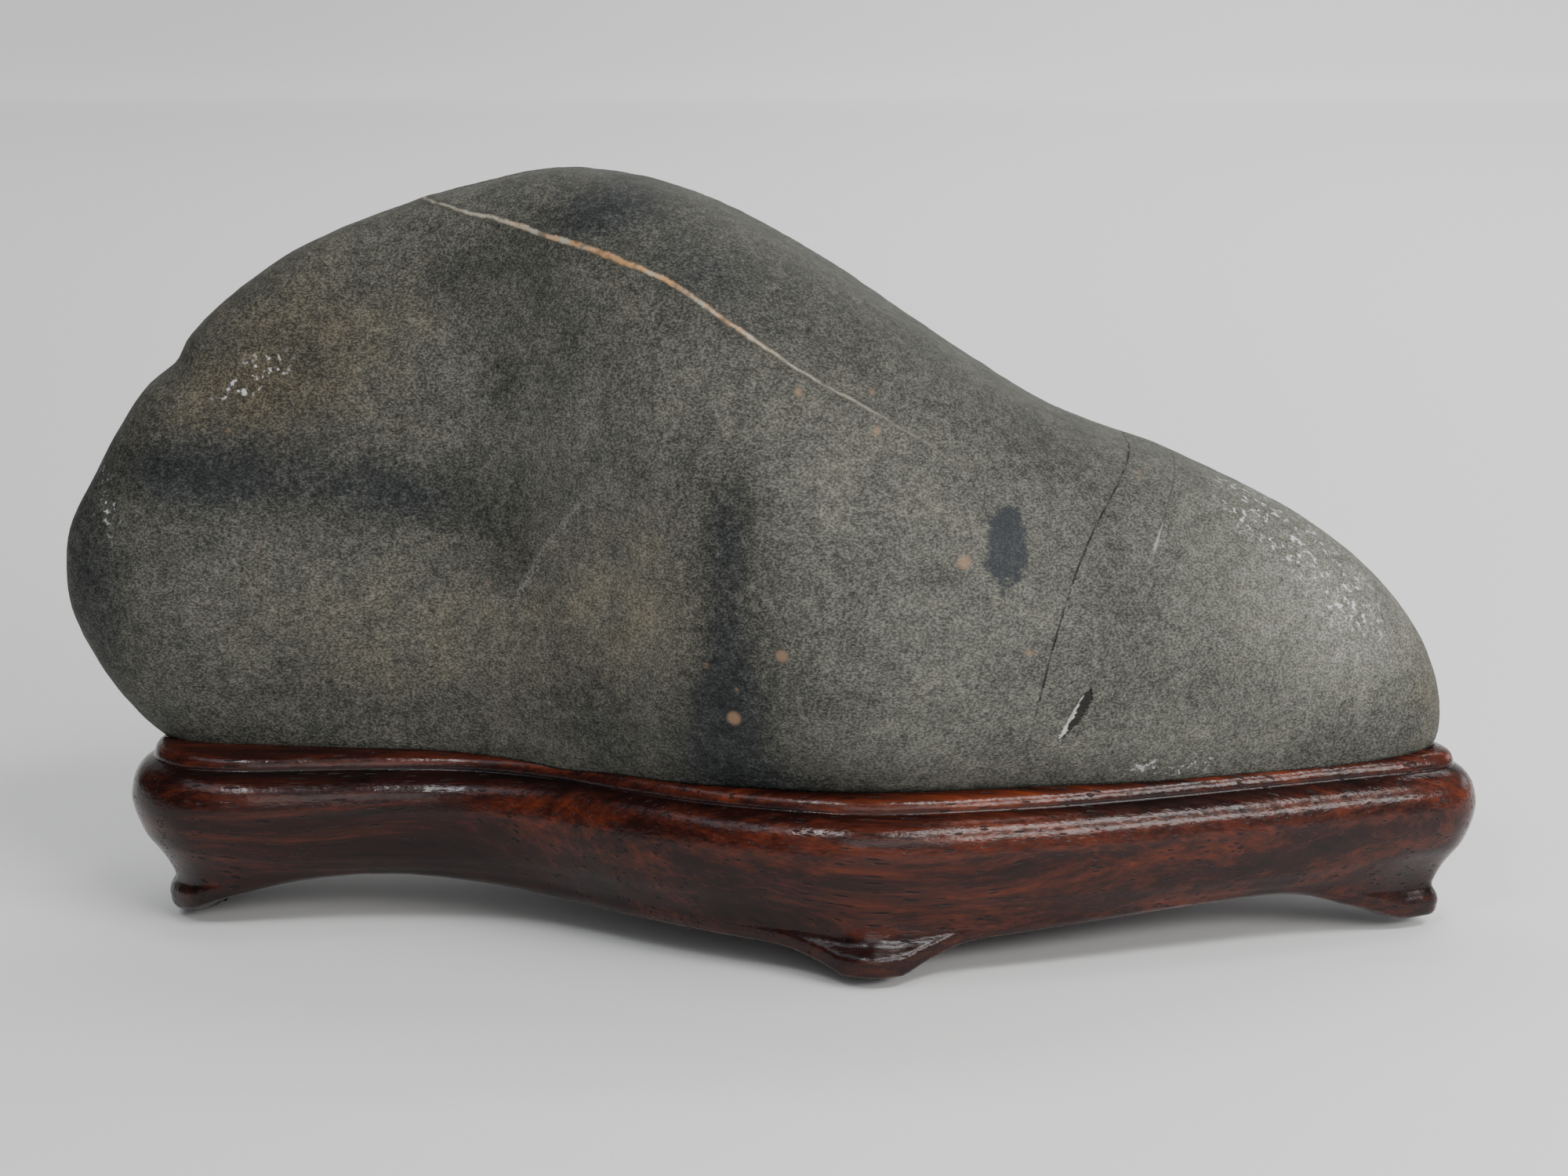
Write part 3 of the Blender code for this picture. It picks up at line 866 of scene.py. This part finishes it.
scratch_run = start.painted("scratch_run")
scratch_gap = abs(start.painted("scratch") + wander * 0.35)
hairline = scratch_gap.rise(0.22, 0.06) * scratch_run.rise(0.50, 0.35) * 0.6
stone_colour = hairline.mix(stone_colour, SCRATCH_BLACK)
graze_width = 0.08 + 0.24 * scratch_run.rise(0.35, 0.55) * scratch_run.rise(0.72, 0.58)
graze = scratch_gap.rise(graze_width + 0.15, graze_width - 0.10)
graze = graze * scratch_run.rise(0.30, 0.36) * scratch_run.rise(0.56, 0.48) * 0.65
faint_mask = abs(start.painted("faint") + wander * 1.2).rise(0.9, 0.1) * grain * 0.35
stone_colour = graze.most(faint_mask).mix(stone_colour, GRAZED)

ink_mask = (start.painted("ink") + (coarse - 0.5) * 0.9 + (fleck - 0.5) * 0.7).rise(0.24, -0.16)
stone_colour = (ink_mask * (0.98 - 0.25 * grain)).mix(stone_colour, INK_STAIN)

rust_mask = (start.painted("rust") + wander * 0.8).rise(0.30, -0.55)
stone_colour = (rust_mask * 0.7).mix(stone_colour, RUST_BROWN)

# Pale frost, which on the nose and at the left edge is painted highlight.
frost_and_highlight_mask = mm.noise(1.3, detail=3.0, rough=0.6).rise(0.56, 0.66)
frost_and_highlight_mask = frost_and_highlight_mask * start.painted("frost").rise(0.15, 0.8)
stone_colour = (frost_and_highlight_mask * 0.85).mix(stone_colour, FROST_AND_HIGHLIGHT_WHITE)

# %% [markdown]
# The chip is fresh: its left lip is bruised white, and its bottom is painted dark as its
# shadow. The bump node carries what is too small for the mesh, grains and their fine pitting,
# and the roughness drops a little on the stains, where old oil fills the pores.

# %% Chip, bump and roughness
CHIP_SHADOW_BLACK, BRUISE_WHITE = (0.010, 0.009, 0.008), (0.48, 0.47, 0.43)
chip_run = start.painted("chip_run")
chip_gap = start.painted("chip") + wander * 1.3
cavity_width = 0.95 * chip_run.rise(0.02, 0.22) * chip_run.rise(0.95, 0.40)
chip_hollow_and_shadow = (abs(chip_gap - 0.15) - cavity_width).rise(0.20, -0.20) * chip_run.rise(0.0, 0.06)
bruise_width = 0.32 * chip_run.rise(0.15, 0.40) * chip_run.rise(1.0, 0.90)
bruise = (abs(chip_gap + 0.55) + (fleck - 0.5) * 1.6 - bruise_width).rise(0.12, -0.12)
bruise = bruise * chip_run.rise(0.12, 0.25) * chip_run.rise(1.0, 0.95)
# Painted shadow: the chip's bottom is painted dark.
stone_colour = (chip_hollow_and_shadow * 0.9).mix(stone_colour, CHIP_SHADOW_BLACK)
stone_colour = (bruise * 0.9).mix(stone_colour, BRUISE_WHITE)

relief = fine * 0.055 + mm.noise(0.28, detail=1.0) * 0.02 + coarse * 0.07
relief = relief - crack_mask * 0.22 - chip_hollow_and_shadow * 0.3 + vein_mask * 0.10
stone_bump = start.node(
    "ShaderNodeBump",
    {},
    {"Strength": 1.0, "Distance": MM, "Height": relief},
    output="Normal",
)
stone_roughness = 0.66 + (fine - 0.5) * 0.35 + start.painted("tone") * 0.06
connect(
    stone_shader,
    Base_Color=stone_colour,
    Roughness=stone_roughness,
    Normal=stone_bump,
    Specular_IOR_Level=0.22,
)
river_stone_mesh.materials.append(stone_finish)
print(stone_finish.name, len(stone_finish.node_tree.nodes), "nodes")

# %% [markdown]
# ## The stand's finish
#
# Rosewood shows long wavy bands from near black to orange red, fine fibres along the
# length, and open pores: short dark dashes that wax never quite fills. The polish is glossy
# but not glass, with a fine orange-peel that breaks up the highlights. The beads are painted
# redder, as rubbed wear and as painted light where they catch the lamps. The groove between
# them is painted darker as painted shade, and the whole stand is painted a little lighter
# towards the right, where the main lights stand. Noise stretched along the length gives the
# bands, and a second, slower noise makes them wave.

# %% Wood figure
wood_finish, wood_shader, start, mm = new_finish("waxed_rosewood_finish")

sway = mm.stretch((0.010, 0.03, 0.03)).noise(1.0, detail=2.0)
slope = start.node("ShaderNodeCombineXYZ", {}, {"Z": sway * 26.0})
plank = mm.shift(slope)
bands = plank.stretch((0.10, 1.0, 1.0)).noise(7.5, detail=4.0, rough=0.55)
streaks = plank.stretch((0.035, 1.0, 1.0)).noise(1.3, detail=4.0, rough=0.65)
fibres = plank.stretch((0.06, 1.0, 1.0)).noise(0.30, detail=2.0)
# Redder on rubbed crests that catch the light, as wear and painted light; darker in the groove and
# the ankle cove, as painted shade.
rub = start.painted("rub")
along = start.node("ShaderNodeSeparateXYZ", {}, {"Vector": mm}, output="X")
depth = bands * 0.75 + streaks * 0.52 + fibres * 0.20 + rub * 0.10 - 0.33
# Painted light: the wood is painted a little lighter and redder towards the right, where the main
# lights stand.
depth = depth + along.rise(-70.0, 30.0) * 0.06
wood_colour = depth.node(
    "ShaderNodeValToRGB",
    {
        "stops": (
            (0.25, (0.0040, 0.0022, 0.0022)),
            (0.45, (0.0190, 0.0050, 0.0036)),
            (0.58, (0.0560, 0.0120, 0.0060)),
            (0.72, (0.1200, 0.0230, 0.0080)),
            (0.90, (0.2800, 0.0650, 0.0180)),
        )
    },
    {"Fac": depth},
)

# %% [markdown]
# ## Pores, wax and polish
#
# A pore is cut open along its length, so it shows as a dash. Stretched Voronoi cells give one
# dash each, a random pick keeps about a third of them, and the dark bands keep none. The
# bump lets each pore sink, and the speckle in the roughness is what breaks a long highlight
# into the soft sparkle of hand-rubbed wax.

# %% Pores, wax and polish
PORE_BLACK, LOW_DOWN_DARK = (0.004, 0.002, 0.002), (0.006, 0.003, 0.003)
drift = start.node("ShaderNodeCombineXYZ", {}, {"Y": (streaks - 0.5) * 1.2})
pore_place = plank.stretch((0.16, 1.5, 1.5)).shift(drift)
cells = {"Vector": pore_place, "Scale": 1.0}
pore_gap = start.node("ShaderNodeTexVoronoi", {}, cells, output="Distance")
pore_tint = start.node("ShaderNodeTexVoronoi", {}, cells, output="Color")
pore_pick = start.node("ShaderNodeSeparateColor", {}, {"Color": pore_tint}, output="Red")
pores = pore_gap.rise(0.34, 0.20) * pore_pick.rise(0.66, 0.72) * bands.rise(0.35, 0.50)
wood_colour = (pores * 0.9).mix(wood_colour, PORE_BLACK)

height = start.node("ShaderNodeSeparateXYZ", {}, {"Vector": mm}, output="Z")
# Darker towards the ground: below 8 mm the wood is painted darker and rougher.
darker_low_down = height.rise(8.0, 1.0) * 0.45
wood_colour = darker_low_down.mix(wood_colour, LOW_DOWN_DARK)

peel = mm.noise(1.6, detail=2.0)
speckle = mm.stretch((0.4, 1.0, 1.0)).noise(0.6, detail=2.0, rough=0.6)
wood_relief = peel * 0.05 + speckle * 0.045 + fibres * 0.012 - pores * 0.10
wood_bump = start.node(
    "ShaderNodeBump",
    {},
    {"Strength": 1.0, "Distance": MM, "Height": wood_relief},
    output="Normal",
)
wood_roughness = 0.20 + (speckle - 0.5) * 0.28 + darker_low_down * 0.20 + pores * 0.4
connect(
    wood_shader,
    Base_Color=wood_colour,
    Roughness=wood_roughness,
    Normal=wood_bump,
    Specular_IOR_Level=0.30,
)
carved_mesh.materials.clear()
carved_mesh.materials.append(wood_finish)
print(wood_finish.name, len(wood_finish.node_tree.nodes), "nodes")

# %% [markdown]
# ## The floor
#
# A sheet of pale paper runs under the object and curves up behind it, so that there is no
# corner and the backdrop fades softly. It stands upright 2.5 m back, well beyond the object,
# so that there is room to walk round and look from behind. The paper's left side is painted
# grey as painted shade, because shading it with the lights would darken the object's left
# side as well.

# %% Sweep the backdrop
# (y, z) of the paper's profile, in metres.
SWEEP = (
    (-4.0, 0.0), (-2.0, 0.0), (1.1, 0.0), (1.6, 0.03), (2.1, 0.16), (2.4, 0.45),
    (2.5, 1.1), (2.5, 2.4),
)
PAPER_HALF_WIDTH = 4.0
PAPER_SHADE_GREY, PAPER_WHITE = (0.68, 0.68, 0.67), (0.95, 0.95, 0.95)
PAPER_FADE = 420.0  # millimetres to each side of the middle, where grey turns to white
profile = smooth_curve(SWEEP, closed=False, steps=8)
paper = bmesh.new()
sides = (-PAPER_HALF_WIDTH, PAPER_HALF_WIDTH)
edges = [[paper.verts.new((x, y, z)) for y, z in profile] for x in sides]
for i in range(len(profile) - 1):
    paper.faces.new((edges[0][i], edges[1][i], edges[1][i + 1], edges[0][i + 1]))
paper_mesh = bpy.data.meshes.new("backdrop")
paper.to_mesh(paper_mesh)
paper.free()
paper_mesh.shade_smooth()
backdrop = bpy.data.objects.new("backdrop", paper_mesh)
bpy.context.scene.collection.objects.link(backdrop)
paper_finish, paper_shader, start, mm = new_finish("pale_paper")
across = start.node("ShaderNodeSeparateXYZ", {}, {"Vector": mm}, output="X")
# Painted shade: the paper is grey on the left, turning white on the right.
paper_colour = across.rise(-PAPER_FADE, PAPER_FADE).mix(PAPER_SHADE_GREY, PAPER_WHITE)
connect(paper_shader, Base_Color=paper_colour, Roughness=0.85, Specular_IOR_Level=0.2)
paper_mesh.materials.append(paper_finish)
backdrop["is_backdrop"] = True

# %% [markdown]
# ## The light
#
# Two long narrow softboxes above and to the right do most of the work: they draw the long
# highlight on the bead and leave the left side of the stone in half shade. Weaker sheets of
# light in front, above and on the left keep the dark wood readable, a faint one behind picks
# out the right end, and a wide one washes the upright paper. Two dark cards hold stray light
# off the left side and the top. They are hidden from the camera, so they never show.

# %% Hang the lights
TARGET = Vector((0.0, 0.0, 0.05))
WALL = (0.10, 2.0, 0.0)
DAYLIGHT, NEUTRAL, SKYLIGHT = (1.0, 0.99, 0.97), (1.0, 1.0, 1.0), (0.97, 0.98, 1.0)
COLD_SKY = (0.80, 0.88, 1.0)


def softbox(name, place, size, watts, colour, target=TARGET):
    """A rectangular light at place, turned towards the object or another target."""
    data = bpy.data.lights.new(name, "AREA")
    data.shape = "RECTANGLE"
    data.size, data.size_y = size
    data.energy = watts
    data.color = colour
    light = bpy.data.objects.new(name, data)
    light.location = place
    light.rotation_euler = (Vector(target) - Vector(place)).to_track_quat("-Z", "Y").to_euler()
    bpy.context.scene.collection.objects.link(light)
    light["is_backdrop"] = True
    return light


softbox("window_upper", (0.54, -0.66, 0.98), (0.80, 0.20), 8.0, DAYLIGHT)
softbox("window_lower", (0.76, -0.90, 0.58), (0.80, 0.22), 8.0, DAYLIGHT)
softbox("front_fill", (0.05, -1.60, 0.62), (0.9, 0.6), 3.5, NEUTRAL)
softbox("overhead", (0.32, -0.08, 1.30), (0.35, 0.30), 2.5, NEUTRAL)
softbox("left_window", (-0.36, -0.84, 0.95), (0.15, 0.22), 2.8, SKYLIGHT)
softbox("right_rim", (0.95, 0.42, 0.30), (0.5, 0.3), 1.0, NEUTRAL)
softbox("left_sheet", (-0.66, -0.40, 0.80), (0.8, 0.30), 1.6, COLD_SKY)
softbox("wall_wash", (0.10, 0.75, 1.50), (2.4, 0.4), 26.0, NEUTRAL, WALL)

world = bpy.data.worlds.new("studio")
world.use_nodes = True
surroundings = world.node_tree.nodes["Background"]
surroundings.inputs["Color"].default_value = (0.74, 0.75, 0.76, 1.0)
surroundings.inputs["Strength"].default_value = 0.55
bpy.context.scene.world = world

# %% Stand the dark cards
CARD_COLOUR = (0.03, 0.03, 0.035, 1.0)
flag_finish, flag_shader, _, _ = new_finish("dark_card")
connect(flag_shader, Base_Color=CARD_COLOUR, Roughness=0.9)


def flag(name, corners):
    """A dark card that keeps stray light away from one side."""
    mesh = bpy.data.meshes.new(name)
    mesh.from_pydata(corners, [], [(0, 1, 2, 3)])
    mesh.materials.append(flag_finish)
    card = bpy.data.objects.new(name, mesh)
    bpy.context.scene.collection.objects.link(card)
    card.visible_camera = False
    card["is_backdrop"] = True


flag("left_flag", [(-0.70, -1.3, 0.0), (-0.70, 0.45, 0.0), (-0.70, 0.45, 1.5), (-0.70, -1.3, 1.5)])
flag("top_flag", [(-0.7, -1.0, 1.5), (1.0, -1.0, 1.5), (1.0, 0.6, 1.5), (-0.7, 0.6, 1.5)])

# %% [markdown]
# ## How far inside the box
#
# Both the imported solids' box and the box round the finished pieces are gathered, and
# for each axis the gaps between them are printed in millimetres.

# %% Measure the gaps
visual_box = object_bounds()
sizes = {
    "cad": [[float(c) for c in corner] for corner in cad_box],
    "visual": [[float(c) for c in corner] for corner in visual_box],
}
for axis in range(3):
    low_gap = (sizes["visual"][0][axis] - sizes["cad"][0][axis]) / MM
    high_gap = (sizes["cad"][1][axis] - sizes["visual"][1][axis]) / MM
    print("XYZ"[axis], "inside by", round(low_gap, 3), "and", round(high_gap, 3), "mm")
